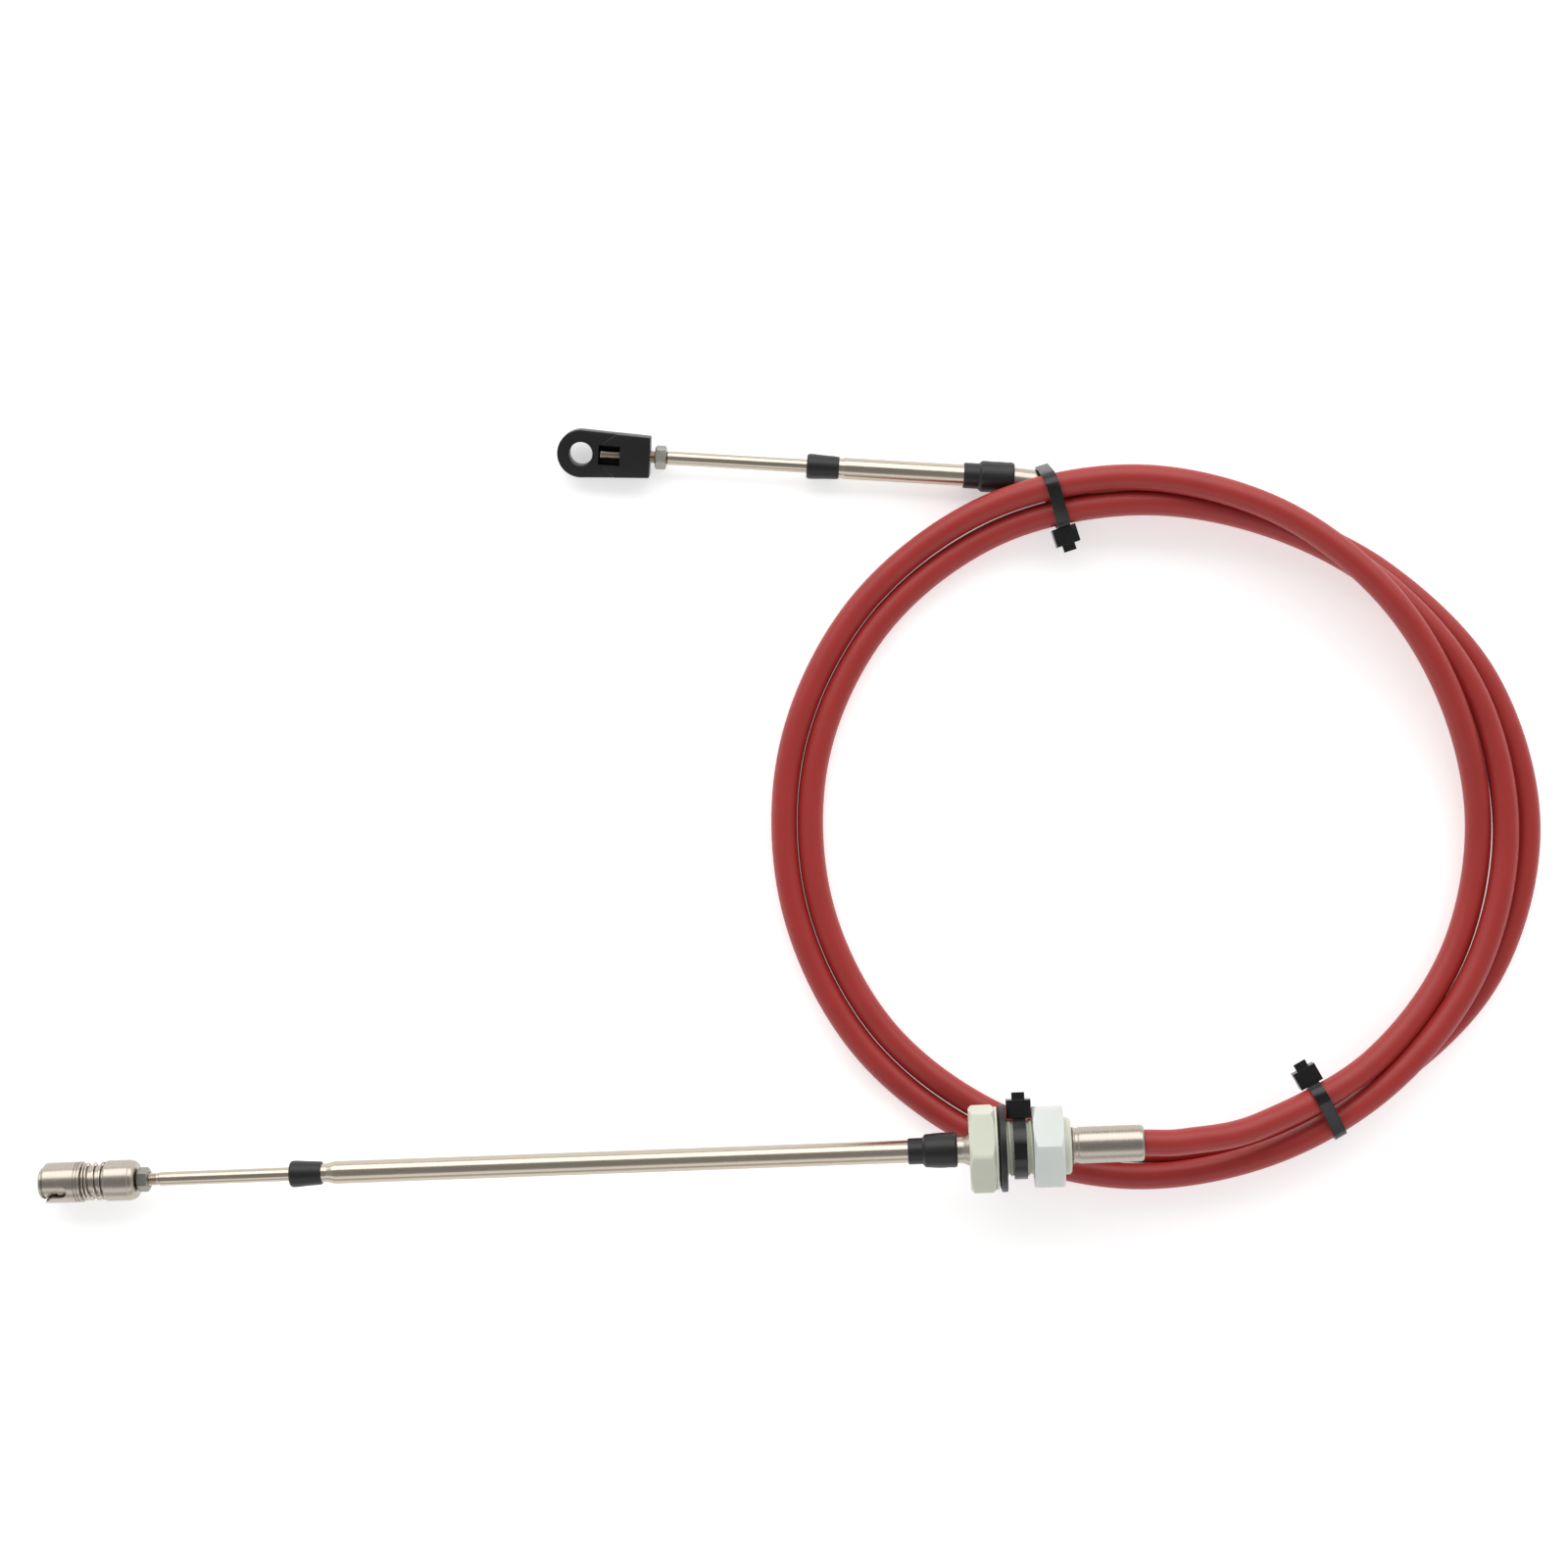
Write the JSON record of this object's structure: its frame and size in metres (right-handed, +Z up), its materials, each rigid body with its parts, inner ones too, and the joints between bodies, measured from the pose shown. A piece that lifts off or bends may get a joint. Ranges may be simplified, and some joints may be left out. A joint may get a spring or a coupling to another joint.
{
  "type": "trim cable",
  "caption": "Coiled red-jacketed push-pull control cable, tied, with stainless guide tubes, a nylon bulkhead fitting, a quick-release coupler and a black plastic rod eye.",
  "frame": {"origin": "on the level floor, under the centre of the box of the fittings and ties, the jacket left out", "axes": "+Z up from the floor; +X from the coupler and the rod eye towards the coil, along the picture's rows to the right; +Y towards the picture's top edge"},
  "size_m": [0.5653, 0.2922, 0.0465],
  "materials": {
    "red_jacket": "satin extruded polyethylene",
    "stainless_steel": "turned and drawn, bright",
    "zinc_steel": "dull zinc plate",
    "pale_nylon": "moulded, slightly translucent, satin",
    "black_rubber": "moulded, dull sheen",
    "black_nylon": "moulded, satin",
    "tie_nylon": "moulded, glossy"
  },
  "bodies": {
    "cable": {"cable_jacket": "red_jacket", "lower_hub": "stainless_steel", "upper_hub": "stainless_steel", "bulkhead_body": "pale_nylon", "bulkhead_nut": "pale_nylon", "sealing_washer": "black_rubber", "lower_boot": "black_rubber", "upper_boot": "black_rubber", "tie_top": "tie_nylon", "tie_bottom": "tie_nylon", "tie_fitting": "tie_nylon"},
    "lower_guide": {"lower_tube": "stainless_steel", "lower_wiper": "black_rubber"},
    "lower_push_rod": {"lower_rod": "stainless_steel", "lower_jam_nut": "zinc_steel", "coupler_body": "stainless_steel", "release_spring": "stainless_steel"},
    "coupler_sleeve": {"release_sleeve": "stainless_steel"},
    "upper_guide": {"upper_tube": "stainless_steel", "upper_wiper": "black_rubber"},
    "upper_push_rod": {"upper_rod": "stainless_steel", "upper_jam_nut": "zinc_steel", "rod_eye": "black_nylon"}
  },
  "joints": [
    {"name": "lower_swivel", "type": "hinge", "parent": "cable", "child": "lower_guide", "pos_m": [0.09228, -0.1238, 0.02711], "axis": [0, 0, 1], "range_deg": [-8, 8], "deforming": ["lower_boot"]},
    {"name": "lower_push", "type": "slide", "parent": "lower_guide", "child": "lower_push_rod", "axis": [-0.9976, -0.0439, -0.0544], "range_m": [-0.02, 0.02]},
    {"name": "sleeve_release", "type": "slide", "parent": "lower_push_rod", "child": "coupler_sleeve", "axis": [0.9976, 0.0439, 0.0544], "range_m": [0, 0.004], "stiffness_N_per_m": 1000, "springref_m": -0.003, "deforming": ["release_spring"]},
    {"name": "upper_swivel", "type": "hinge", "parent": "cable", "child": "upper_guide", "pos_m": [0.11487, 0.12744, 0.0063], "axis": [0, 0, 1], "range_deg": [-8, 8], "deforming": ["upper_boot"]},
    {"name": "upper_push", "type": "slide", "parent": "upper_guide", "child": "upper_push_rod", "axis": [-0.9983, 0.0586, 0], "range_m": [-0.02, 0.02]}
  ],
  "couplings": [
    {"joint": "upper_push", "follows": "lower_push", "ratio": -1}
  ]
}
